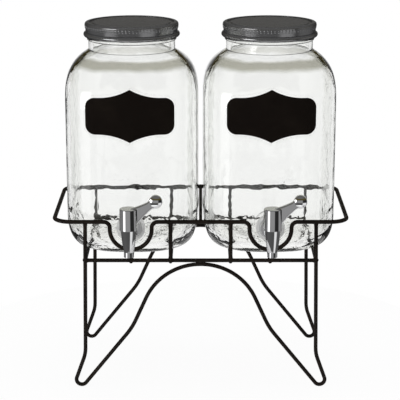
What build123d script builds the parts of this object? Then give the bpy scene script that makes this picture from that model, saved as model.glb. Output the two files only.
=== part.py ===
"""Twin glass drink dispenser: two square jars with taps and screw lids in one welded wire stand."""
import os
from math import cos, radians, sin, tan

from build123d import *

os.makedirs("parts", exist_ok=True)

# All lengths are in millimetres, heights are above the table, and -Y is the front.

# Wire stand
rail_wire = 4.8
leg_wire = 4.5
tie_wire = 3.8
rail_clearance = 2.35
rail_side_clearance = 8.35
rail_corner = 20.0
dip_clearance = 5.1
dip_shoulder = 7.0
dip_straight = 2.0
dip_under_barrel = 1.5
crossbar_height = 154.6
leg_inset = 36.4
leg_splay = 0.9
ankle_radius = 40.0
foot_flare = 7.4
foot_bend = 6.3
shin_lean = 19.8
brace_lean = 38.8
knee_radius = 80.0
arch_lean = 24.4
arch_radius = 69.3
post_span = 69.0
weld_gap = 0.1
# a wire that butts onto another is cut to that wire's side, from this share of its radius
cope_share = 0.5

# Glass jars
jar_width = 155.5
jar_gap = 4.5
jar_corner = 42.0
face_arc = 6.0
jar_height = 259.0
wall = 4.5
floor_thickness = 7.0
heel_width = 112.0
heel_flat = 10.0
heel_height = 39.5
shoulder_rise = 58.0
shoulder_power = 3.4
neck_radius = 50.5
neck_bead_proud = 1.7
neck_bead_height = 3.4
neck_bead_drop = 0.8
finish_height = 29.0
rim_round = 1.2
seat_gap = 0.3
heel_turn_shares = (0, 0.25, 0.5, 0.75, 1)
shoulder_rise_shares = (0, 0.15, 0.3, 0.45, 0.6, 0.75, 0.88, 0.97, 1)

# Boss and hole for the tap
barrel_rise = 35.85
boss_margin = 2.5
boss_proud = 0.8
boss_thickness = 8.3
tap_hole_clearance = 0.75

# Chalk label
label_width = 100.8
label_edge_height = 42.1
label_tip_rise = 9.4
label_shelf = 3.65
label_corner = 11.0
label_rise = 164.95
label_thickness = 0.5
label_frame_gap = 1.6
label_frame_width = 1.5
label_frame_proud = 0.6

# Two-piece lid
band_height = 16.5
band_sheet = 0.9
band_clearance = 2.0
band_rim_flare = 1.0
band_rim_round = 2.2
band_waist_height = 5.6
band_bead_proud = 2.6
band_bead_height = 2.7
band_hem_flare = 1.2
band_lip = 1.1
disc_overhang = 1.3
disc_sheet = 0.8
disc_panel_inset = 5.5
disc_panel_rise = 0.5
disc_step = 1.0
gasket_thickness = 1.0
gasket_outer_inset = 0.7
gasket_inner_inset = 0.2

# Tap
tap_reach = 52.5
body_rise = 12.0
body_top_radius = 8.8
body_bulge = 0.5
spout_drop = 19.5
spout_tip_radius = 5.6
spout_tip_length = 6.0
outlet_radius = 3.8
chamber_radius = 4.8
chamber_drop = 7.5
barrel_radius = 6.5
waterway_radius = 3.6
flange_radius = 13.0
flange_thickness = 4.0
flange_taper = 25.0
stem_radius = 8.0
stem_tail = 2.0
washer_thickness = 3.0
outer_washer_radius = 16.5
inner_washer_margin = 2.0
washer_clearance = 0.3
nut_flats = 24.0
nut_thickness = 8.0
nut_chamfer = 1.2
thread_clearance = 0.15
spot_face_margin = 1.5

# Handle and valve plug
handle_gap = 0.3
cap_height = 24.0
cap_top_radius = 10.1
cap_foot_radius = 10.4
cap_edge = 0.7
lever_reach = 30.3
lever_tip_rise = 8.0
lever_tip_radius = 7.5
lever_arm_width = 8.0
lever_root_width = 25.0
lever_root_drop = 12.0
lever_waist = 2.0
lever_thickness = 6.0
lever_edge = 1.6
lever_crotch = 7.0
pad_radius = 6.2
pad_crown = 1.5
plug_clearance = 0.08
plug_bore_radius = 2.8
plug_port_radius = 2.6
plug_roof = 4.0
tang_width = 6.0
tang_height = 12.0
tang_clearance = 0.05
ring_section = 0.9
ring_groove_depth = 1.0
ring_spread = 5.6
ring_clearance = 0.03

overrun = 5.0

# Sizes and places that follow from the ones above
rail_radius = rail_wire / 2
leg_radius = leg_wire / 2
jar_pitch = jar_width + jar_gap
rail_depth = jar_width + 2 * rail_clearance + rail_wire
rail_width = jar_pitch + jar_width + 2 * rail_side_clearance + rail_wire
leg_top_span = rail_width - 2 * leg_inset
foot_span = leg_top_span + 2 * foot_flare
heel_corner = heel_width / 2 - heel_flat
shoulder_height = jar_height - finish_height - shoulder_rise
dip_radius = outer_washer_radius + dip_clearance + rail_radius
boss_radius = outer_washer_radius + boss_margin
tap_hole_radius = stem_radius + tap_hole_clearance
inner_washer_radius = nut_flats / 2 + inner_washer_margin
label_tip_height = label_edge_height + 2 * label_tip_rise
label_sweep_width = label_width - 2 * (label_corner + label_shelf)
neck_bead_radius = neck_radius + neck_bead_proud
band_waist_radius = neck_radius + band_clearance + band_sheet
band_rim_radius = band_waist_radius + band_rim_flare
band_bead_radius = band_waist_radius + band_bead_proud
band_hem_radius = band_waist_radius + band_hem_flare
band_opening_radius = neck_radius - band_lip
disc_radius = neck_radius + disc_overhang
disc_panel_radius = neck_radius - disc_panel_inset
gasket_outer_radius = neck_radius - gasket_outer_inset
gasket_inner_radius = neck_radius - wall + gasket_inner_inset
front_reach = jar_width / 2 + boss_proud + tap_reach + cap_foot_radius
rear_reach = rail_depth / 2 + rail_radius
stand_y = (front_reach - rear_reach) / 2
front_y = stand_y - rail_depth / 2
rear_y = stand_y + rail_depth / 2
jar_base = crossbar_height + leg_radius + seat_gap
jar_rim = jar_base + jar_height
label_centre_height = jar_base + label_rise
barrel_height = jar_base + barrel_rise
dip_height = barrel_height - dip_under_barrel
dip_top = dip_height + dip_straight
rail_height = dip_top + dip_shoulder
boss_face_y = stand_y - jar_width / 2 - boss_proud
boss_back_y = boss_face_y + boss_thickness
tap_y = boss_face_y - tap_reach
body_top = barrel_height + body_rise
cap_foot = body_top + handle_gap
cap_top = cap_foot + cap_height
chamber_floor = barrel_height - chamber_drop
disc_base = jar_rim + gasket_thickness
band_top = disc_base + disc_sheet + band_sheet
band_base = band_top - band_height
sides = (("left", -jar_pitch / 2), ("right", jar_pitch / 2))


def upright_plane(x, y):
    """Vertical plane facing the front, with its local y along the height above the table."""
    return Plane(origin=(x, y, 0), x_dir=(1, 0, 0), z_dir=(0, -1, 0))


def line_meet(start, lean, other, other_lean):
    """Point where two straight runs meet, each given by a point and its lean from the vertical."""
    slope = tan(radians(lean))
    other_slope = tan(radians(other_lean))
    height = (start[0] - other[0] - slope * start[1] + other_slope * other[1]) / (other_slope - slope)
    return (start[0] + slope * (height - start[1]), height)


def leg_corners():
    """Corners of one leg wire's right half, from the rail down to the foot and up to the arch."""
    leg_top = (leg_top_span / 2, rail_height - cope_share * rail_radius)
    foot_centre = (foot_span / 2, leg_radius + foot_bend)
    shin = (
        foot_centre[0] + foot_bend * cos(radians(shin_lean)),
        foot_centre[1] + foot_bend * sin(radians(shin_lean)),
    )
    brace = (
        foot_centre[0] - foot_bend * cos(radians(brace_lean)),
        foot_centre[1] - foot_bend * sin(radians(brace_lean)),
    )
    arch_centre_height = crossbar_height - leg_wire - weld_gap - arch_radius
    haunch = (
        arch_radius * cos(radians(arch_lean)),
        arch_centre_height + arch_radius * sin(radians(arch_lean)),
    )
    ankle = line_meet(leg_top, -leg_splay, shin, -shin_lean)
    foot = line_meet(shin, -shin_lean, brace, -brace_lean)
    knee = line_meet(brace, -brace_lean, haunch, -arch_lean)
    crown = line_meet(haunch, -arch_lean, (0, 0), 0)
    return [leg_top, ankle, foot, knee, crown]


def jar_section(height, half_width, corner):
    """Square with bowed sides and round corners; a circle when the corner is the half width."""
    turn = radians(face_arc)
    corner_place = (half_width - corner) / (1 + tan(turn / 2))
    side_end = Vector(corner_place + corner * sin(turn), corner_place + corner * cos(turn))
    side_start = Vector(-side_end.X, side_end.Y)
    corner_end = Vector(side_end.Y, side_end.X)
    diagonal = corner_place + corner * sin(radians(45))
    with BuildSketch(Plane((0, stand_y, height))) as section:
        with BuildLine():
            for quarter in (0, 90, 180, 270):
                side = (side_start, Vector(0, half_width), side_end)
                bend = (side_end, Vector(diagonal, diagonal), corner_end)
                ThreePointArc(*(point.rotate(Axis.Z, -quarter) for point in side))
                ThreePointArc(*(point.rotate(Axis.Z, -quarter) for point in bend))
        make_face()
    return section.sketch


def jar_form(inset, base):
    """Jar shape on the middle plane, drawn in by an inset, from a base up to the foot of the neck."""
    half = jar_width / 2 - inset
    heel_half = heel_width / 2 - inset
    throat = neck_radius - inset
    heel_top = jar_base + heel_height
    heel = []
    for share in heel_turn_shares:
        turn = radians(90 * share)
        width = heel_half + (half - heel_half) * sin(turn)
        height = base + (heel_top - base) * (1 - cos(turn))
        corner = heel_corner + (jar_corner - heel_corner) * sin(turn) - inset
        heel.append(jar_section(height, width, corner))
    shoulder = []
    for share in shoulder_rise_shares:
        width = half - (half - throat) * share**shoulder_power
        corner = jar_corner - inset + (throat - jar_corner + inset) * share
        shoulder.append(jar_section(jar_base + shoulder_height + shoulder_rise * share, width, corner))
    with BuildPart() as form:
        loft(heel)
        loft([heel[-1], shoulder[0]], ruled=True)
        loft(shoulder)
    return form.part


def label_outline(margin):
    """Plaque outline on the front of the middle plane, grown by a margin."""
    side_x = -label_width / 2
    edge = label_edge_height / 2
    front = Plane((0, stand_y, label_centre_height), x_dir=(1, 0, 0), z_dir=(0, -1, 0))
    with BuildSketch(front) as outline:
        with BuildLine():
            Line((side_x, 0), (side_x, edge - label_corner))
            JernArc((side_x, edge - label_corner), (0, 1), label_corner, -90)
            Line((side_x + label_corner, edge), (-label_sweep_width / 2, edge))
            TangentArc((-label_sweep_width / 2, edge), (0, label_tip_height / 2), tangent=(1, 0))
            mirror(about=Plane.YZ)
            mirror(about=Plane.XZ)
        make_face()
        if margin > 0:
            offset(amount=margin)
    return outline.sketch


# Top rail: a closed loop whose front run dips under each tap barrel
with BuildPart() as top_rail:
    with BuildLine(upright_plane(0, front_y)):
        dip_end = jar_pitch / 2 + dip_radius + dip_shoulder
        run_end = (dip_end + rail_width / 2 - rail_corner) / 2
        run_x = -run_end
        for _, dip_x in sides:
            near_x = dip_x - dip_radius
            far_x = dip_x + dip_radius
            Line((run_x, rail_height), (near_x - dip_shoulder, rail_height))
            JernArc((near_x - dip_shoulder, rail_height), (1, 0), dip_shoulder, -90)
            Line((near_x, dip_top), (near_x, dip_height))
            JernArc((near_x, dip_height), (0, -1), dip_radius, 180)
            Line((far_x, dip_height), (far_x, dip_top))
            JernArc((far_x, dip_top), (0, 1), dip_shoulder, -90)
            run_x = far_x + dip_shoulder
        Line((run_x, rail_height), (run_end, rail_height))
    with BuildSketch(Plane((-run_end, front_y, rail_height), x_dir=(0, 1, 0), z_dir=(1, 0, 0))):
        Circle(rail_radius)
    sweep()
    with BuildLine(Plane.XY.offset(rail_height)):
        FilletPolyline(
            (run_end, front_y),
            (rail_width / 2, front_y),
            (rail_width / 2, rear_y),
            (-rail_width / 2, rear_y),
            (-rail_width / 2, front_y),
            (-run_end, front_y),
            radius=rail_corner,
        )
    with BuildSketch(Plane((run_end, front_y, rail_height), x_dir=(0, 1, 0), z_dir=(1, 0, 0))):
        Circle(rail_radius)
    sweep()
top_rail.part.label = "top_rail"
export_step(top_rail.part, "parts/top_rail.step")


def wire_between(start, end, radius=leg_radius):
    """Straight length of wire from one point to another."""
    with BuildPart() as length:
        run = Vector(end) - Vector(start)
        with BuildSketch(Plane(start, z_dir=run)):
            Circle(radius)
        extrude(amount=run.length)
    return length.part


# Leg wires: each is one bent wire with two legs, two feet and the arch between them
half_corners = leg_corners()
leg_points = [(-x, z) for x, z in half_corners[:-1]] + half_corners[::-1]
leg_bends = [ankle_radius, foot_bend, knee_radius]
leg_wires = {}
for place, wire_y in (("front", front_y), ("rear", rear_y)):
    with BuildPart() as leg_wire_part:
        with BuildLine(upright_plane(0, wire_y)):
            FilletPolyline(*leg_points, radius=leg_bends + [arch_radius] + leg_bends[::-1])
        leg_end = (leg_points[0][0], wire_y, leg_points[0][1])
        with BuildSketch(Plane(leg_end, z_dir=(-sin(radians(leg_splay)), 0, -cos(radians(leg_splay))))):
            Circle(leg_radius)
        sweep()
        add(top_rail.part, mode=Mode.SUBTRACT)
    leg_wires[place] = leg_wire_part.part
    leg_wire_part.part.label = f"{place}_leg_wire"
    export_step(leg_wire_part.part, f"parts/{place}_leg_wire.step")

# Crossbars between the legs, each resting on the crown of its arch
leg_span_at_bar = leg_top_span / 2 + (rail_height - crossbar_height) * tan(radians(leg_splay))
bar_half = leg_span_at_bar - cope_share * leg_radius
crossbars = {}
for place, bar_y in (("front", front_y), ("rear", rear_y)):
    with BuildPart() as crossbar:
        add(wire_between((-bar_half, bar_y, crossbar_height), (bar_half, bar_y, crossbar_height)))
        add(leg_wires[place], mode=Mode.SUBTRACT)
    crossbars[place] = crossbar.part
    crossbar.part.label = f"{place}_crossbar"
    export_step(crossbar.part, f"parts/{place}_crossbar.step")

# Posts between the rail and each crossbar
bar_posts = {}
for place, post_y in (("front", front_y), ("rear", rear_y)):
    with BuildPart() as posts:
        for post_x in (-post_span / 2, post_span / 2):
            foot_end = (post_x, post_y, crossbar_height + cope_share * leg_radius)
            head_end = (post_x, post_y, rail_height - cope_share * rail_radius)
            add(wire_between(foot_end, head_end))
        add(top_rail.part, mode=Mode.SUBTRACT)
        add(crossbars[place], mode=Mode.SUBTRACT)
    bar_posts[place] = posts.part
    posts.part.label = f"{place}_posts"
    export_step(posts.part, f"parts/{place}_posts.step")

# Wires from front to rear that carry the jars, and the tie between the two jars
bar_inset = cope_share * leg_radius
for side, jar_x in sides:
    edge_x = leg_span_at_bar if jar_x > 0 else -leg_span_at_bar
    inner_x = post_span / 2 if jar_x > 0 else -post_span / 2
    with BuildPart() as side_rail:
        add(wire_between(
            (edge_x, front_y + bar_inset, crossbar_height), (edge_x, rear_y - bar_inset, crossbar_height)
        ))
        for place in leg_wires:
            add(leg_wires[place], mode=Mode.SUBTRACT)
            add(crossbars[place], mode=Mode.SUBTRACT)
    side_rail.part.label = f"{side}_side_rail"
    export_step(side_rail.part, f"parts/{side}_side_rail.step")
    for name, wire_x in (("support_wire", jar_x), ("inner_support_wire", inner_x)):
        with BuildPart() as support:
            add(wire_between(
                (wire_x, front_y + bar_inset, crossbar_height), (wire_x, rear_y - bar_inset, crossbar_height)
            ))
            for place in crossbars:
                add(crossbars[place], mode=Mode.SUBTRACT)
                add(bar_posts[place], mode=Mode.SUBTRACT)
        support.part.label = f"{side}_{name}"
        export_step(support.part, f"parts/{side}_{name}.step")

with BuildPart() as centre_tie:
    tie_inset = cope_share * rail_radius
    tie_front = (0, front_y + tie_inset, rail_height)
    tie_rear = (0, rear_y - tie_inset, rail_height)
    add(wire_between(tie_front, tie_rear, tie_wire / 2))
    add(top_rail.part, mode=Mode.SUBTRACT)
centre_tie.part.label = "centre_tie"
export_step(centre_tie.part, "parts/centre_tie.step")

# Glass on the middle plane: square body on a round heel, shoulder, neck with a bead under the lid,
# and a thin moulded frame round the label
jar_outside = jar_form(0, jar_base)
bead_top = band_base - neck_bead_drop
bead_foot = bead_top - neck_bead_height
with BuildPart() as label_frame:
    extrude(label_outline(label_frame_gap + label_frame_width), amount=jar_width)
    extrude(label_outline(label_frame_gap), amount=jar_width, mode=Mode.SUBTRACT)
    add(jar_form(-label_frame_proud, jar_base), mode=Mode.INTERSECT)

with BuildPart() as glass:
    add(jar_outside)
    add(label_frame.part)
    with BuildSketch(upright_plane(0, stand_y)):
        with BuildLine():
            Polyline(
                (neck_radius, bead_foot),
                (neck_radius, jar_rim - finish_height),
                (0, jar_rim - finish_height),
                (0, jar_rim),
                (neck_radius - rim_round, jar_rim),
                (neck_radius, jar_rim - rim_round),
                (neck_radius, bead_top),
            )
            ThreePointArc(
                (neck_radius, bead_foot),
                (neck_bead_radius, (bead_foot + bead_top) / 2),
                (neck_radius, bead_top),
            )
        make_face()
    revolve(axis=Axis((0, stand_y, 0), (0, 0, 1)))
    add(jar_form(wall, jar_base + floor_thickness), mode=Mode.SUBTRACT)
    with BuildSketch(Plane((0, stand_y, jar_rim - finish_height))):
        Circle(neck_radius - wall)
    extrude(amount=finish_height + overrun, mode=Mode.SUBTRACT)
    with BuildSketch(Plane((0, boss_face_y, barrel_height), z_dir=(0, 1, 0))):
        Circle(boss_radius)
    extrude(amount=boss_thickness)
    with BuildSketch(Plane((0, boss_back_y, barrel_height), z_dir=(0, 1, 0))):
        Circle(inner_washer_radius + spot_face_margin)
    extrude(amount=heel_height, mode=Mode.SUBTRACT)
    with BuildSketch(Plane((0, boss_face_y - overrun, barrel_height), z_dir=(0, 1, 0))):
        Circle(tap_hole_radius)
    extrude(amount=boss_thickness + overrun + overrun, mode=Mode.SUBTRACT)

# Chalk label on the middle plane: a plaque that follows the front of the glass
with BuildPart() as plaque:
    extrude(label_outline(0), amount=jar_width)
    add(jar_form(-label_thickness, jar_base), mode=Mode.INTERSECT)
    add(jar_outside, mode=Mode.SUBTRACT)

for side, jar_x in sides:
    jar_axis = Axis((jar_x, stand_y, 0), (0, 0, 1))
    tap_axis = Axis((jar_x, tap_y, 0), (0, 0, 1))
    jar_profile = upright_plane(jar_x, stand_y)
    tap_profile = upright_plane(jar_x, tap_y)

    # Jar and label in their place
    with BuildPart() as jar:
        add(glass.part.moved(Location((jar_x, 0, 0))))
    jar.part.label = f"{side}_jar"
    export_step(jar.part, f"parts/{side}_jar.step")

    with BuildPart() as label:
        add(plaque.part.moved(Location((jar_x, 0, 0))))
    label.part.label = f"{side}_label"
    export_step(label.part, f"parts/{side}_label.step")

    # Lid gasket on the rim of the jar
    with BuildPart() as gasket:
        with BuildSketch(Plane((jar_x, stand_y, jar_rim))):
            Circle(gasket_outer_radius)
            Circle(gasket_inner_radius, mode=Mode.SUBTRACT)
        extrude(amount=gasket_thickness)
    gasket.part.label = f"{side}_lid_gasket"
    export_step(gasket.part, f"parts/{side}_lid_gasket.step")

    # Lid disc: thin sheet with a raised middle panel
    with BuildPart() as disc:
        with BuildSketch(jar_profile):
            with BuildLine():
                rise = disc_base + disc_panel_rise
                Polyline(
                    (0, rise),
                    (disc_panel_radius, rise),
                    (disc_panel_radius + disc_step, disc_base),
                    (disc_radius, disc_base),
                    (disc_radius, disc_base + disc_sheet),
                    (disc_panel_radius + disc_step, disc_base + disc_sheet),
                    (disc_panel_radius, rise + disc_sheet),
                    (0, rise + disc_sheet),
                    close=True,
                )
            make_face()
        revolve(axis=jar_axis)
    disc.part.label = f"{side}_lid_disc"
    export_step(disc.part, f"parts/{side}_lid_disc.step")

    # Lid band: rolled hem, bead, waist and a top flange that holds the disc
    with BuildPart() as band:
        with BuildSketch(jar_profile):
            with BuildLine():
                rim_foot = band_top - band_rim_round
                ThreePointArc(
                    (band_hem_radius, band_base),
                    (band_bead_radius, band_base + band_bead_height),
                    (band_waist_radius, band_base + band_waist_height),
                )
                Line((band_waist_radius, band_base + band_waist_height), (band_rim_radius, rim_foot))
                ThreePointArc(
                    (band_rim_radius, rim_foot),
                    (
                        band_rim_radius - band_rim_round * (1 - cos(radians(45))),
                        rim_foot + band_rim_round * sin(radians(45)),
                    ),
                    (band_rim_radius - band_rim_round, band_top),
                )
                Line((band_rim_radius - band_rim_round, band_top), (band_opening_radius, band_top))
                offset(amount=band_sheet, side=Side.LEFT)
            make_face()
        revolve(axis=jar_axis)
    band.part.label = f"{side}_lid_band"
    export_step(band.part, f"parts/{side}_lid_band.step")

    # Tap body: tapered spout with a valve chamber, barrel, flange and threaded stem
    with BuildPart() as tap_body:
        spout_tip = barrel_height - spout_drop
        flange_y = boss_face_y - washer_thickness - flange_thickness
        stem_end_y = boss_back_y + washer_thickness + nut_thickness + stem_tail
        with BuildSketch(tap_profile):
            with BuildLine():
                taper_foot = spout_tip + spout_tip_length
                Polyline(
                    (body_top_radius, body_top),
                    (0, body_top),
                    (0, spout_tip),
                    (spout_tip_radius, spout_tip),
                    (spout_tip_radius, taper_foot),
                )
                ThreePointArc(
                    (spout_tip_radius, taper_foot),
                    ((spout_tip_radius + body_top_radius) / 2 + body_bulge, (taper_foot + body_top) / 2),
                    (body_top_radius, body_top),
                )
            make_face()
        revolve(axis=tap_axis)
        with BuildSketch(Plane((jar_x, tap_y, barrel_height), z_dir=(0, 1, 0))):
            Circle(barrel_radius)
        extrude(amount=flange_y + flange_thickness - tap_y)
        with BuildSketch(Plane((jar_x, flange_y + flange_thickness, barrel_height), z_dir=(0, -1, 0))):
            Circle(flange_radius)
        extrude(amount=flange_thickness, taper=flange_taper)
        with BuildSketch(Plane((jar_x, flange_y, barrel_height), z_dir=(0, 1, 0))):
            Circle(stem_radius)
        extrude(amount=stem_end_y - flange_y)
        with BuildSketch(Plane((jar_x, tap_y, chamber_floor))):
            Circle(chamber_radius)
        extrude(amount=chamber_drop + body_rise + overrun, mode=Mode.SUBTRACT)
        with BuildSketch(Plane((jar_x, tap_y, spout_tip - overrun))):
            Circle(outlet_radius)
        extrude(amount=spout_drop + overrun, mode=Mode.SUBTRACT)
        with BuildSketch(Plane((jar_x, tap_y, barrel_height), z_dir=(0, 1, 0))):
            Circle(waterway_radius)
        extrude(amount=stem_end_y - tap_y + overrun, mode=Mode.SUBTRACT)
    tap_body.part.label = f"{side}_tap_body"
    export_step(tap_body.part, f"parts/{side}_tap_body.step")

    # Soft washers each side of the glass, and the nut that clamps them
    for name, washer_y, washer_radius in (
        ("outer_washer", boss_face_y - washer_thickness, outer_washer_radius),
        ("inner_washer", boss_back_y, inner_washer_radius),
    ):
        with BuildPart() as washer:
            with BuildSketch(Plane((jar_x, washer_y, barrel_height), z_dir=(0, 1, 0))):
                Circle(washer_radius)
                Circle(stem_radius + washer_clearance, mode=Mode.SUBTRACT)
            extrude(amount=washer_thickness)
        washer.part.label = f"{side}_{name}"
        export_step(washer.part, f"parts/{side}_{name}.step")

    with BuildPart() as lock_nut:
        with BuildSketch(Plane((jar_x, boss_back_y + washer_thickness, barrel_height), z_dir=(0, 1, 0))):
            RegularPolygon(nut_flats / 2, 6, major_radius=False)
            Circle(stem_radius + thread_clearance, mode=Mode.SUBTRACT)
        extrude(amount=nut_thickness)
        chamfer(lock_nut.faces().sort_by(Axis.Y)[-1].outer_wire().edges(), nut_chamfer)
    lock_nut.part.label = f"{side}_lock_nut"
    export_step(lock_nut.part, f"parts/{side}_lock_nut.step")

    # Valve plug: hollow core with a side port, two ring grooves and a square tang
    plug_radius = chamber_radius - plug_clearance
    plug_foot = chamber_floor + handle_gap
    ring_heights = (barrel_height - ring_spread, barrel_height + ring_spread)
    with BuildPart() as plug:
        with BuildSketch(Plane((jar_x, tap_y, plug_foot))):
            Circle(plug_radius)
        extrude(amount=cap_foot - plug_foot)
        with BuildSketch(Plane((jar_x, tap_y, cap_foot))):
            Rectangle(tang_width, tang_width)
        extrude(amount=tang_height)
        with BuildSketch(Plane((jar_x, tap_y, plug_foot))):
            Circle(plug_bore_radius)
        extrude(amount=cap_foot - plug_foot - plug_roof, mode=Mode.SUBTRACT)
        with BuildSketch(Plane((jar_x, tap_y, barrel_height), z_dir=(-1, 0, 0))):
            Circle(plug_port_radius)
        extrude(amount=plug_radius + overrun, mode=Mode.SUBTRACT)
        for ring_height in ring_heights:
            with BuildSketch(Plane((jar_x, tap_y, ring_height - ring_section))):
                Circle(plug_radius + overrun)
                Circle(plug_radius - ring_groove_depth, mode=Mode.SUBTRACT)
            extrude(amount=ring_section + ring_section, mode=Mode.SUBTRACT)
    plug.part.label = f"{side}_valve_plug"
    export_step(plug.part, f"parts/{side}_valve_plug.step")

    with BuildPart() as rings:
        for ring_height in ring_heights:
            with BuildSketch(tap_profile):
                with Locations((chamber_radius - ring_clearance - ring_groove_depth / 2, ring_height)):
                    Circle(ring_groove_depth / 2)
        revolve(axis=tap_axis)
    rings.part.label = f"{side}_plug_rings"
    export_step(rings.part, f"parts/{side}_plug_rings.step")

    # Lever: rising arm that ends in a crowned thumb pad, with its edges rounded
    with BuildPart() as lever:
        tip = Vector(lever_reach, cap_top + lever_tip_rise)
        root = Vector(0, cap_top - lever_root_drop)
        along = (tip - root).normalized()
        across = Vector(-along.Y, along.X)
        with BuildSketch(tap_profile) as lever_outline:
            with BuildLine():
                middle = (root + tip) / 2
                waist = (lever_root_width + lever_arm_width) / 4 - lever_waist
                for way in (across, -across):
                    ThreePointArc(
                        root + way * (lever_root_width / 2),
                        middle + way * waist,
                        tip + way * (lever_arm_width / 2),
                    )
                for end, width in ((root, lever_root_width), (tip, lever_arm_width)):
                    Line(end - across * (width / 2), end + across * (width / 2))
            make_face()
            with Locations(tip):
                Circle(lever_tip_radius)
            fillet(lever_outline.vertices().sort_by(Axis.X)[-2:], lever_crotch)
        extrude(amount=lever_thickness / 2, both=True)
        faces_across = lever.faces().sort_by(Axis.Y)
        fillet(faces_across[0].edges() + faces_across[-1].edges(), lever_edge)
        pad_curve = (pad_radius**2 + pad_crown**2) / (2 * pad_crown)
        pad_half = lever_thickness / 2 + pad_crown
        with BuildSketch(Plane((jar_x + tip.X, tap_y, tip.Y), x_dir=(1, 0, 0), z_dir=(0, 0, 1))):
            with BuildLine():
                Polyline((0, pad_half), (0, -pad_half))
                for way in (1, -1):
                    ThreePointArc(
                        (0, way * pad_half),
                        (
                            pad_radius / 2,
                            way * (pad_half - pad_curve + (pad_curve**2 - pad_radius**2 / 4) ** 0.5),
                        ),
                        (pad_radius, way * lever_thickness / 2),
                    )
                Line((pad_radius, lever_thickness / 2), (pad_radius, -lever_thickness / 2))
            make_face()
        revolve(axis=Axis((jar_x + tip.X, tap_y, tip.Y), (0, 1, 0)))

    # Handle: turned cap with the lever, and a square socket for the plug's tang
    with BuildPart() as handle:
        with BuildSketch(tap_profile):
            with BuildLine():
                Polyline(
                    (0, cap_foot),
                    (cap_foot_radius, cap_foot),
                    (cap_top_radius, cap_top - cap_edge),
                    (cap_top_radius - cap_edge, cap_top),
                    (0, cap_top),
                    close=True,
                )
            make_face()
        revolve(axis=tap_axis)
        add(lever.part)
        with BuildSketch(Plane((jar_x, tap_y, cap_foot))):
            Rectangle(tang_width + 2 * tang_clearance, tang_width + 2 * tang_clearance)
        extrude(amount=tang_height + tang_clearance, mode=Mode.SUBTRACT)
    handle.part.label = f"{side}_tap_handle"
    export_step(handle.part, f"parts/{side}_tap_handle.step")
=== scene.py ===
"""Looks of the twin glass drink dispenser: glass, lids, labels, taps and the wire stand."""
from math import pi, radians

import bpy
from mathutils import Matrix, Vector


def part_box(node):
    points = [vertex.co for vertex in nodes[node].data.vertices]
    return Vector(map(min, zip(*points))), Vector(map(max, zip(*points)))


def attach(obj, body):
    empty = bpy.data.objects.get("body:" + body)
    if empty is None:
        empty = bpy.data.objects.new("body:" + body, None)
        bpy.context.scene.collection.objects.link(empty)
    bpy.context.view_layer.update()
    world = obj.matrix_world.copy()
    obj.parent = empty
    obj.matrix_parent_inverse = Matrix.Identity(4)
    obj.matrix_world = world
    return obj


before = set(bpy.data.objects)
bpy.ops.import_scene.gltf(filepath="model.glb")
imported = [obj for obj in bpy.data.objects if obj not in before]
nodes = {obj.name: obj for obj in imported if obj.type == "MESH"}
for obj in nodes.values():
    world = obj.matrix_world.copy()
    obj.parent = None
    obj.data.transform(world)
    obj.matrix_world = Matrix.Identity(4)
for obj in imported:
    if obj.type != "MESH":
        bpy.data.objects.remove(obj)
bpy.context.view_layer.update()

MM = 0.001
SIDES = ("left", "right")
WHITE = (1.0, 1.0, 1.0, 1.0)


def low(node):
    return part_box(node)[0] / MM


def high(node):
    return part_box(node)[1] / MM


def middle(node):
    return (low(node) + high(node)) / 2


# Places and sizes read from the frame, in millimetres
JAR_X = {side: middle(f"{side}_lid_disc").x for side in SIDES}
STAND_Y = middle("left_lid_disc").y
FRONT_Y = middle("front_leg_wire").y
REAR_Y = middle("rear_leg_wire").y
RAIL_Z = middle("centre_tie").z
BAR_Z = middle("front_crossbar").z
WIRE_R = high("front_crossbar").z - BAR_Z
LEG_BAR_X = middle("right_side_rail").x
LEG_LEAN = 0.7  # how far a leg leans inwards between crossbar and rail
LEG_TOP_X = LEG_BAR_X - LEG_LEAN
POST_X = middle("right_inner_support_wire").x
RIM_Z = high("left_jar").z
BAND_TOP = high("left_lid_band").z


class Tint:
    """A socket of a finish's node tree that takes part in plain arithmetic."""

    def __init__(self, finish, socket):
        self.finish = finish
        self.socket = socket

    def maths(self, operation, a, b):
        return self.finish.node("ShaderNodeMath", {"operation": operation}, {0: a, 1: b})

    def __add__(self, other):
        return self.maths("ADD", self, other)

    def __radd__(self, other):
        return self.maths("ADD", other, self)

    def __sub__(self, other):
        return self.maths("SUBTRACT", self, other)

    def __rsub__(self, other):
        return self.maths("SUBTRACT", other, self)

    def __mul__(self, other):
        return self.maths("MULTIPLY", self, other)

    def __rmul__(self, other):
        return self.maths("MULTIPLY", other, self)

    def __pow__(self, other):
        return self.maths("POWER", self, other)

    def __abs__(self):
        return self.finish.node("ShaderNodeMath", {"operation": "ABSOLUTE"}, {0: self})


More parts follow.
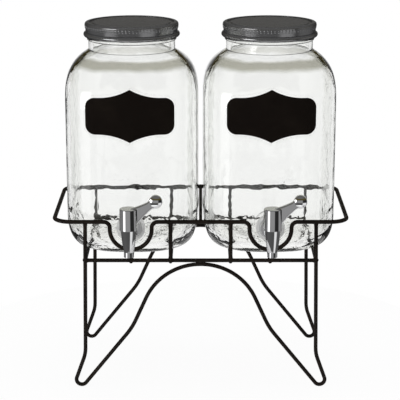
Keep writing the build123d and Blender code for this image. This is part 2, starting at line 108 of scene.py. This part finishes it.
class Finish:
    """One node tree: a material's, or the world's."""

    def __init__(self, owner):
        owner.use_nodes = True
        self.owner = owner
        self.tree = owner.node_tree

    def node(self, kind, settings, sockets, output=0):
        made = self.tree.nodes.new(kind)
        for key, value in settings.items():
            if key == "stops":
                ramp = made.color_ramp
                while len(ramp.elements) < len(value):
                    ramp.elements.new(0.5)
                for stop, (place, colour) in zip(ramp.elements, value):
                    stop.position = place
                    stop.color = colour
            else:
                setattr(made, key, value)
        for key, value in sockets.items():
            if isinstance(value, Tint):
                self.tree.links.new(value.socket, made.inputs[key])
            else:
                made.inputs[key].default_value = value
        return Tint(self, made.outputs[output])

    def show(self, surface):
        """Sends a shader to the tree's output, in place of the one it starts with."""
        output = next(made for made in self.tree.nodes if made.bl_idname.startswith("ShaderNodeOutput"))
        self.tree.nodes.remove(output.inputs["Surface"].links[0].from_node)
        self.tree.links.new(surface.socket, output.inputs["Surface"])

    def noise(self, place, scale, detail, roughness=0.5):
        settings = {"noise_dimensions": "3D"}
        sockets = {"Vector": place, "Scale": scale, "Detail": detail, "Roughness": roughness}
        return self.node("ShaderNodeTexNoise", settings, sockets)

    def blend(self, share, low, high):
        settings = {"data_type": "RGBA", "blend_type": "MIX"}
        return self.node("ShaderNodeMix", settings, {0: share, 6: low, 7: high}, output=2)

    def ramp(self, value, low, high):
        sockets = {"Value": value, "From Min": low, "From Max": high, "To Min": 0.0, "To Max": 1.0}
        return self.node("ShaderNodeMapRange", {"clamp": True}, sockets)

    def band(self, value, foot, top):
        """Full between foot and top, each a pair of (none, full)."""
        return self.ramp(value, *foot) * self.ramp(value, *top)

    def bump(self, height, strength, distance):
        sockets = {"Height": height, "Strength": strength, "Distance": distance}
        return self.node("ShaderNodeBump", {}, sockets)


def finish_for(name, fixed, varied):
    """A Principled material: fixed socket values, and varied ones made from Object coordinates."""
    finish = Finish(bpy.data.materials.new(name))
    shader = finish.tree.nodes["Principled BSDF"]
    for key, value in fixed.items():
        shader.inputs[key].default_value = value
    place = finish.node("ShaderNodeTexCoord", {}, {}, output=3)
    for key, value in varied(finish, place).items():
        finish.tree.links.new(value.socket, shader.inputs[key])
    return finish.owner


# Where the looks of the glass change, as pairs of (none, full); the edge share is painted shade at grazing
# angles
PAINTED_EDGE_FACING, PAINTED_EDGE_POWER = (0.58, 1.0), 1.4
# up the jar, in metres
RING_FOOT, RING_TOP = (0.371, 0.3755), (0.3835, 0.3815)
UPPER_ROW = (0.265, 0.270), (0.289, 0.284)
LOWER_ROW = (0.244, 0.248), (0.258, 0.254)
RIPPLED = (0.214, 0.196)
HEEL = (0.168, 0.160)
# to the rear, to the front face and off the jar's axis, in metres
RING_REAR, ROW_FACE, ROW_ENDS = (0.05, 0.09), (-0.030, -0.040), (0.034, 0.026)
# how much the painted shoulder shade ring wavers, in metres, and the shares that it loses at the rear and
# the heel takes
RING_WAVER, RING_LOSS, HEEL_SHARE = 0.004, 0.55, 0.07
DIMPLE_NOISE = (0.54, 0.66)
FINE_RELIEF, DIMPLE_RELIEF, RIPPLE_RELIEF = 0.05, 0.06, 0.9


def clear_glass_looks(finish, place):
    parts = finish.node("ShaderNodeSeparateXYZ", {}, {"Vector": place}).socket.node.outputs
    across, depth, height = (Tint(finish, part) for part in parts)
    # painted shade: the glass darkens to grey-green towards its grazing edges, standing in for dark
    # surroundings refracted there
    facing = finish.node("ShaderNodeLayerWeight", {}, {"Blend": 0.5}, output=1)
    painted_edge_shade = finish.ramp(facing, *PAINTED_EDGE_FACING) ** PAINTED_EDGE_POWER
    slow = finish.noise(place, 30.0, 2.0)
    fine = finish.noise(place, 120.0, 1.0)
    # painted shade: a darker olive ring on the shoulder, standing in for the dark refraction seen there,
    # most of it in front, and a faint trace of the same colour round the heel
    ring_height = height + slow * RING_WAVER
    painted_shoulder_shade = finish.band(ring_height, RING_FOOT, RING_TOP)
    painted_shoulder_shade = painted_shoulder_shade * (1.0 - finish.ramp(depth, *RING_REAR) * RING_LOSS)
    heel = finish.ramp(ring_height, *HEEL) * HEEL_SHARE
    # hammered rows on the front face, below the label
    from_axis = abs(abs(across) - JAR_X["right"] * MM)
    rows = finish.band(height, *UPPER_ROW) + finish.band(height, *LOWER_ROW)
    field = finish.ramp(from_axis, *ROW_ENDS) * finish.ramp(depth, *ROW_FACE) * rows
    dimples = finish.ramp(finish.noise(place, 260.0, 2.0), *DIMPLE_NOISE) * field
    # uneven glass low on the walls
    ripples = finish.noise(place, 70.0, 2.0) * finish.ramp(height, *RIPPLED)
    # clear glass, with the painted dark edge shade mixed in
    clear = finish.blend(painted_edge_shade, (0.972, 0.976, 0.968, 1.0), (0.42, 0.44, 0.39, 1.0))
    relief = slow + fine * FINE_RELIEF + dimples * DIMPLE_RELIEF + ripples * RIPPLE_RELIEF
    return {
        # painted shade: the darker olive of the shoulder ring, also used for the faint heel trace
        "Base Color": finish.blend(painted_shoulder_shade + heel, clear, (0.46, 0.455, 0.395, 1.0)),
        "Normal": finish.bump(relief, 0.2, 0.004),
    }


def wire_paint_looks(finish, place):
    patch = finish.noise(place, 60.0, 3.0)
    grain = finish.noise(place, 1400.0, 2.0)
    return {
        "Base Color": finish.blend(finish.ramp(patch, 0.35, 0.7), (0.0065, 0.0045, 0.0034, 1.0),
                                   (0.014, 0.0098, 0.0072, 1.0)),
        "Roughness": 0.5 + patch * 0.2,
        "Normal": finish.bump(grain, 0.25, 0.0002),
    }


def chalk_paint_looks(finish, place):
    dust = finish.noise(place, 34.0, 5.0, 0.6)
    grit = finish.noise(place, 1800.0, 2.0)
    return {
        "Base Color": finish.blend(finish.ramp(dust, 0.45, 0.8), (0.0042, 0.0024, 0.0015, 1.0),
                                   (0.0085, 0.0058, 0.0040, 1.0)),
        "Roughness": 0.75 + dust * 0.15,
        "Normal": finish.bump(grit, 0.3, 0.0001),
    }


def lid_metal_looks(finish, place):
    patch = finish.noise(place, 45.0, 3.0)
    grain = finish.noise(place, 2200.0, 2.0)
    return {
        "Base Color": finish.blend(patch, (0.205, 0.206, 0.209, 1.0), (0.245, 0.245, 0.249, 1.0)),
        "Roughness": 0.15 + patch * 0.08,
        "Normal": finish.bump(grain, 0.12, 0.0001),
    }


def chrome_looks(finish, place):
    smear = finish.noise(place, 90.0, 4.0)
    return {
        "Base Color": finish.blend(smear, (0.60, 0.60, 0.61, 1.0), (0.67, 0.67, 0.68, 1.0)),
        "Roughness": 0.03 + finish.ramp(smear, 0.5, 0.8) * 0.04,
    }


def soft_looks(low, high, rough):
    def looks(finish, place):
        patch = finish.noise(place, 120.0, 3.0)
        grain = finish.noise(place, 1500.0, 2.0)
        return {
            "Base Color": finish.blend(patch, low, high),
            "Roughness": rough + patch * 0.15,
            "Normal": finish.bump(grain, 0.15, 0.0001),
        }
    return looks


clear_glass = finish_for(
    "clear_glass", {"Transmission Weight": 1.0, "Roughness": 0.0, "IOR": 1.48, "Specular IOR Level": 0.12},
    clear_glass_looks)
wire_paint = finish_for("wire_paint", {"Specular IOR Level": 0.14}, wire_paint_looks)
chalk_paint = finish_for("chalk_paint", {"Specular IOR Level": 0.12}, chalk_paint_looks)
lid_metal = finish_for(
    "lid_metal", {"Metallic": 0.82, "Specular IOR Level": 0.2, "Specular Tint": (0.12, 0.12, 0.13, 1.0)},
    lid_metal_looks)
chrome = finish_for("tap_chrome", {"Metallic": 1.0}, chrome_looks)
gasket_rubber = finish_for(
    "gasket_rubber", {}, soft_looks((0.55, 0.55, 0.50, 1.0), (0.66, 0.66, 0.61, 1.0), 0.5))
washer_silicone = finish_for(
    "washer_silicone", {"Transmission Weight": 0.25, "IOR": 1.41},
    soft_looks((0.88, 0.89, 0.87, 1.0), (0.96, 0.96, 0.95, 1.0), 0.2))
plug_plastic = finish_for(
    "plug_plastic", {}, soft_looks((0.66, 0.66, 0.63, 1.0), (0.74, 0.74, 0.71, 1.0), 0.4))
nut_plastic = finish_for(
    "nut_plastic", {}, soft_looks((0.72, 0.73, 0.73, 1.0), (0.80, 0.81, 0.81, 1.0), 0.3))

finishes = {
    "jar": clear_glass, "label": chalk_paint, "lid_band": lid_metal, "lid_disc": lid_metal,
    "lid_gasket": gasket_rubber, "tap_body": chrome, "tap_handle": chrome, "valve_plug": plug_plastic,
    "plug_rings": gasket_rubber, "outer_washer": washer_silicone, "inner_washer": washer_silicone,
    "lock_nut": nut_plastic,
}
for name, node in nodes.items():
    kind = name.split("_", 1)[1] if name.split("_", 1)[0] in SIDES else name
    node.data.materials.clear()
    node.data.materials.append(finishes.get(kind, wire_paint))


SMOOTH_ANGLE = 50  # degrees


def deselect():
    bpy.ops.object.select_all(action="DESELECT")


def turned(profile, sides):
    """A turned form about Z from (height, radius) pairs: a circle drawn out and scaled ring by ring."""
    deselect()
    height, radius = profile[0]
    bpy.ops.mesh.primitive_circle_add(
        vertices=sides, radius=radius * MM, fill_type="NGON", location=(0, 0, height * MM))
    made = bpy.context.object
    bpy.ops.object.transform_apply(location=True, rotation=True, scale=True)
    bpy.ops.object.mode_set(mode="EDIT")
    bpy.ops.mesh.select_all(action="SELECT")
    for next_height, next_radius in profile[1:]:
        rise = (0, 0, (next_height - height) * MM)
        bpy.ops.mesh.extrude_region_move(TRANSFORM_OT_translate={"value": rise})
        share = next_radius / radius
        bpy.ops.transform.resize(value=(share, share, 1), center_override=(0, 0, next_height * MM))
        height, radius = next_height, next_radius
    bpy.ops.mesh.select_all(action="SELECT")
    bpy.ops.mesh.normals_make_consistent(inside=False)
    bpy.ops.object.mode_set(mode="OBJECT")
    return made


def copies(pattern, places, name, finish):
    """One piece made of a pattern's copies, each with its own mesh, set at the given matrices."""
    made = []
    for place in places:
        twin = pattern.copy()
        twin.data = pattern.data.copy()
        twin.data.transform(place)
        bpy.context.collection.objects.link(twin)
        made.append(twin)
    bpy.data.objects.remove(pattern)
    deselect()
    for twin in made:
        twin.select_set(True)
    bpy.context.view_layer.objects.active = made[0]
    bpy.ops.object.join()
    piece = bpy.context.object
    piece.name = name
    piece.data.materials.clear()
    piece.data.materials.append(finish)
    bpy.ops.object.shade_smooth_by_angle(angle=radians(SMOOTH_ANGLE))
    return piece


def standing(place, along, depth=1.0):
    """Matrix that puts a form made about Z at a place, in millimetres, with its Z along a direction.
    A depth under 1 flattens it from front to rear."""
    turn = Vector((0, 0, 1)).rotation_difference(Vector(along)).to_matrix().to_4x4()
    return Matrix.Translation(Vector(place) * MM) @ Matrix.Diagonal((1, depth, 1, 1)) @ turn


def dress(piece, body):
    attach(piece, body)


# Weld flares where one wire of the stand butts onto another: (height, radius) pairs, in millimetres
FLARE = ((1.2, 3.1), (1.9, 3.0), (2.5, 2.75), (3.2, 2.5), (4.2, 2.35), (5.2, 2.2))
FLARE_SIDES = 20
FLARE_DEPTH = 0.72
flare_places = []
for wire_y, inward in ((FRONT_Y, 1), (REAR_Y, -1)):
    for sign in (-1, 1):
        for spot, way in (
            ((sign * LEG_TOP_X, wire_y, RAIL_Z), (0, 0, -1)),
            ((sign * POST_X, wire_y, RAIL_Z), (0, 0, -1)),
            ((sign * POST_X, wire_y, BAR_Z), (0, 0, 1)),
            ((sign * LEG_BAR_X, wire_y, BAR_Z), (-sign, 0, 0)),
        ):
            flare_places.append(standing(spot, way, FLARE_DEPTH))
        for wire_x in (LEG_BAR_X, POST_X, JAR_X["right"]):
            flare_places.append(standing((sign * wire_x, wire_y, BAR_Z), (0, inward, 0)))
    flare_places.append(standing((0, wire_y, RAIL_Z), (0, inward, 0)))
flare = turned(FLARE, FLARE_SIDES)
dress(copies(flare, flare_places, "weld_flares", wire_paint), "stand")

# Weld beads under the crossbars: at the ends of the cross wires, and along the crown of each arch
BEAD = ((-2.2, 0.7), (-1.8, 1.5), (-0.9, 2.2), (0, 2.4), (0.9, 2.2), (1.8, 1.5), (2.2, 0.7))
BEAD_SIDES = 18
BEAD_DROP = 1.5
CROWN_STEP, CROWN_DROP = 3.2, 0.1
bead_places = []
for wire_y in (FRONT_Y, REAR_Y):
    for wire_x in (-JAR_X["right"], -POST_X, POST_X, JAR_X["right"]):
        bead_places.append(standing((wire_x, wire_y, BAR_Z - BEAD_DROP), (0, 0, 1), FLARE_DEPTH))
    for step in (-1, 0, 1):
        spot = (step * CROWN_STEP, wire_y, BAR_Z - WIRE_R - CROWN_DROP)
        bead_places.append(standing(spot, (1, 0, 0), FLARE_DEPTH))
bead = turned(BEAD, BEAD_SIDES)
dress(copies(bead, bead_places, "weld_beads", wire_paint), "stand")

# Grip ribs round each screw band, just under its top edge, in millimetres and degrees
RIBS = 84
RIB_SIZE = (0.7, 1.5, 4.4)
RIB_BEVEL = 0.3
RIB_DROP = 4.9
RIB_RADIUS = 54.05
RIB_LEAN = 6.6
for side in SIDES:
    deselect()
    bpy.ops.mesh.primitive_cube_add(size=MM)
    rib = bpy.context.object
    bpy.ops.object.mode_set(mode="EDIT")
    bpy.ops.mesh.select_all(action="SELECT")
    bpy.ops.transform.resize(value=RIB_SIZE)
    bpy.ops.mesh.bevel(offset=RIB_BEVEL * MM, segments=1)
    bpy.ops.object.mode_set(mode="OBJECT")
    axis = Matrix.Translation(Vector((JAR_X[side], STAND_Y, BAND_TOP - RIB_DROP)) * MM)
    tilt = Matrix.Translation((RIB_RADIUS * MM, 0, 0)) @ Matrix.Rotation(radians(RIB_LEAN), 4, "Y")
    spots = [axis @ Matrix.Rotation(2 * pi * step / RIBS, 4, "Z") @ tilt for step in range(RIBS)]
    dress(copies(rib, spots, f"{side}_grip_ribs", lid_metal), f"{side}_band")


def neck_thread(side):
    """Raised glass thread round a jar's neck: a small ring wound up by the Screw modifier.
    Its ends fade into the neck."""
    sides, steps, fade = 10, 96, 12
    turns, pitch = 1.5, 4.6
    neck_radius, ridge_radius, ridge_sink, rim_drop = 50.3, 1.15, 1.3, 10.2
    start_z = RIM_Z - rim_drop
    deselect()
    bpy.ops.mesh.primitive_circle_add(
        vertices=sides, radius=ridge_radius * MM, location=(neck_radius * MM, 0, start_z * MM),
        rotation=(radians(90), 0, 0))
    thread = bpy.context.object
    bpy.ops.object.transform_apply(location=True, rotation=True, scale=True)
    winding = thread.modifiers.new("winding", "SCREW")
    winding.axis = "Z"
    winding.angle = 2 * pi * turns
    winding.screw_offset = pitch * turns * MM
    winding.steps = winding.render_steps = steps
    bpy.ops.object.modifier_apply(modifier=winding.name)
    for vertex in thread.data.vertices:
        step = vertex.index // sides
        share = min(1, step / fade, (steps - step) / fade)
        out = Vector((vertex.co.x, vertex.co.y, 0))
        vertex.co -= out.normalized() * (1 - share) * ridge_sink * MM
    bpy.ops.object.mode_set(mode="EDIT")
    bpy.ops.mesh.select_all(action="SELECT")
    bpy.ops.mesh.fill_holes(sides=0)
    bpy.ops.mesh.normals_make_consistent(inside=False)
    bpy.ops.object.mode_set(mode="OBJECT")
    axis = Matrix.Translation(Vector((JAR_X[side], STAND_Y, 0)) * MM)
    return copies(thread, [axis], f"{side}_neck_thread", clear_glass)


for side in SIDES:
    dress(neck_thread(side), f"{side}_dispenser")


# Camera at the photograph's place: across, in front of the jars' axes and up, in millimetres
CAMERA_X, CAMERA_AHEAD, CAMERA_Z = -0.7, 1729.56, 660.64
CAMERA_TILT = 14.77  # degrees, downwards
camera_data = bpy.data.cameras.new("view")
camera_data.sensor_width = 36.0
camera_data.lens = 134.64
camera = bpy.data.objects.new("view", camera_data)
bpy.context.collection.objects.link(camera)
camera.location = (CAMERA_X * MM, (STAND_Y - CAMERA_AHEAD) * MM, CAMERA_Z * MM)
camera.rotation_euler = (radians(90 - CAMERA_TILT), 0, 0)
bpy.context.scene.camera = camera
bpy.context.scene.view_settings.view_transform = "Standard"


def ray_kinds(finish):
    """Shares of camera, glossy and transmission rays."""
    outputs = finish.node("ShaderNodeLightPath", {}, {}).socket.node.outputs
    return (Tint(finish, outputs[f"Is {kind} Ray"]) for kind in ("Camera", "Glossy", "Transmission"))


# Floor: close to plain white for the camera and through glass, with a faint soft shadow of the stand
FLOOR_RADIUS = 0.34
SEEN_WHITE, THROUGH_WHITE, MIRRORED_WHITE = 0.94, 0.97, 0.2
deselect()
bpy.ops.mesh.primitive_circle_add(
    vertices=96, radius=FLOOR_RADIUS, fill_type="NGON", location=(0, STAND_Y * MM, 0))
floor = bpy.context.object
floor.name = "floor"
paper = Finish(bpy.data.materials.new("floor_paper"))
floor.data.materials.append(paper.owner)
seen, mirrored, through = ray_kinds(paper)
lit = paper.node("ShaderNodeBsdfDiffuse", {}, {"Color": (0.86, 0.86, 0.86, 1.0)})
glow = paper.node("ShaderNodeEmission", {}, {"Color": WHITE, "Strength": 1.0})
whiteness = seen * SEEN_WHITE + through * THROUGH_WHITE + mirrored * MIRRORED_WHITE
paper.show(paper.node("ShaderNodeMixShader", {}, {0: whiteness, 1: lit, 2: glow}))


# World: white to the camera. Glass sees white ahead and behind, with greyer sides, table and ceiling.
# Metal sees a studio by bearing: white backdrop behind, a tall lamp at the left, dark flags, grey walls
world = bpy.data.worlds.new("studio")
bpy.context.scene.world = world
studio = Finish(world)
way = studio.node("ShaderNodeTexCoord", {}, {}, output=0)
parts = studio.node("ShaderNodeSeparateXYZ", {}, {"Vector": way}).socket.node.outputs
east, north, up = (Tint(studio, part) for part in parts)
bearing = studio.node("ShaderNodeMath", {"operation": "ARCTAN2"}, {0: east, 1: 0.0 - north})
turn = bearing * (0.5 / pi) + 0.5
LAMP = 8.0
LOW_LAMP = 1.9
# Zones of the studio by the rise of a ray, as pairs of (none, full)
TABLE_RISE, EYE_RISE, HIGH_LAMP_RISE = (-0.62, -0.70), (-0.35, -0.29), (-0.13, -0.115)
CEILING_RISE, CEILING_GREY_RISE = (0.04, 0.16), (0.30, 0.42)
# The same for what glass sees, with the share of its bearing that is ahead or behind
AHEAD, GLASS_TABLE_RISE, GLASS_CEILING_RISE = (0.3, 0.7), (-0.35, -0.60), (-0.02, 0.12)


def walls(*runs):
    """Ramp over the bearing, in degrees from the camera, of (bearing, brightness) pairs."""
    stops = []
    for degrees, level in runs:
        stops.append((degrees / 360 + 0.5, (level / LAMP, level / LAMP, level / LAMP, 1.0)))
    return studio.node("ShaderNodeValToRGB", {"stops": stops}, {0: turn})


def room(lamp):
    """Walls at eye level: the tall lamp at the left, a dark flag at the right, the backdrop behind."""
    return walls(
        (-180, 1.0), (-172, 1.0), (-166, 0.16), (-134, 0.14), (-128, 0.26), (-69, 0.24),
        (-65, lamp), (-39, lamp), (-34, 0.12), (-29, 0.38), (20, 0.38), (27, 0.03), (72, 0.03),
        (80, 0.42), (126, 0.32), (134, 0.14), (166, 0.16), (172, 1.0), (180, 1.0))


ground = walls((-180, 0.08), (-70, 0.13), (20, 0.10), (30, 1.1), (58, 1.1), (68, 0.13), (180, 0.08))
table = walls((-180, 0.3), (-80, 0.5), (-60, 2.0), (10, 2.0), (40, 0.4), (180, 0.3))
brown = (0.12 / LAMP, 0.10 / LAMP, 0.04 / LAMP, 1.0)
grey = (0.18 / LAMP, 0.18 / LAMP, 0.18 / LAMP, 1.0)
ceiling = studio.blend(studio.ramp(up, *CEILING_GREY_RISE), brown, grey)
eye_level = studio.blend(studio.ramp(up, *HIGH_LAMP_RISE), room(LOW_LAMP), room(LAMP))
reflection = studio.blend(studio.ramp(up, *EYE_RISE), ground, eye_level)
reflection = studio.blend(studio.ramp(up, *TABLE_RISE), reflection, table)
reflection = studio.blend(studio.ramp(up, *CEILING_RISE), reflection, ceiling)
surround = studio.blend(studio.ramp(abs(north), *AHEAD), (0.74, 0.75, 0.72, 1.0), WHITE)
surround = studio.blend(studio.ramp(up, *GLASS_TABLE_RISE), surround, (0.84, 0.84, 0.82, 1.0))
surround = studio.blend(studio.ramp(up, *GLASS_CEILING_RISE), surround, (0.62, 0.62, 0.57, 1.0))
ambient = studio.node("ShaderNodeBackground", {}, {"Color": WHITE, "Strength": 0.55})
mirror_view = studio.node("ShaderNodeBackground", {}, {"Color": reflection, "Strength": LAMP})
glass_view = studio.node("ShaderNodeBackground", {}, {"Color": surround, "Strength": 1.0})
plain_view = studio.node("ShaderNodeBackground", {}, {"Color": WHITE, "Strength": 1.0})
seen, mirrored, through = ray_kinds(studio)
view = studio.node("ShaderNodeMixShader", {}, {0: mirrored, 1: ambient, 2: mirror_view})
view = studio.node("ShaderNodeMixShader", {}, {0: through, 1: view, 2: glass_view})
studio.show(studio.node("ShaderNodeMixShader", {}, {0: seen, 1: view, 2: plain_view}))


def softbox(name, place, aim, size, power):
    """Soft lamp at a place in metres, turned towards a point; metal mirrors the studio instead of it."""
    lamp_data = bpy.data.lights.new(name, "AREA")
    lamp_data.shape = "RECTANGLE"
    lamp_data.size, lamp_data.size_y = size
    lamp_data.energy = power
    lamp = bpy.data.objects.new(name, lamp_data)
    bpy.context.collection.objects.link(lamp)
    lamp.location = place
    lamp.rotation_euler = (Vector(place) - Vector(aim)).to_track_quat("Z", "Y").to_euler()
    lamp.visible_glossy = False
    lamp.visible_transmission = False


aim = (0, STAND_Y * MM, 0.25)
softbox("key", (-1.5, -1.5, 0.9), aim, (0.75, 1.5), 16.0)
softbox("fill", (1.7, -1.1, 1.2), aim, (0.5, 1.0), 5.0)
softbox("top", (0.0, 0.2, 2.0), aim, (1.4, 1.2), 14.0)
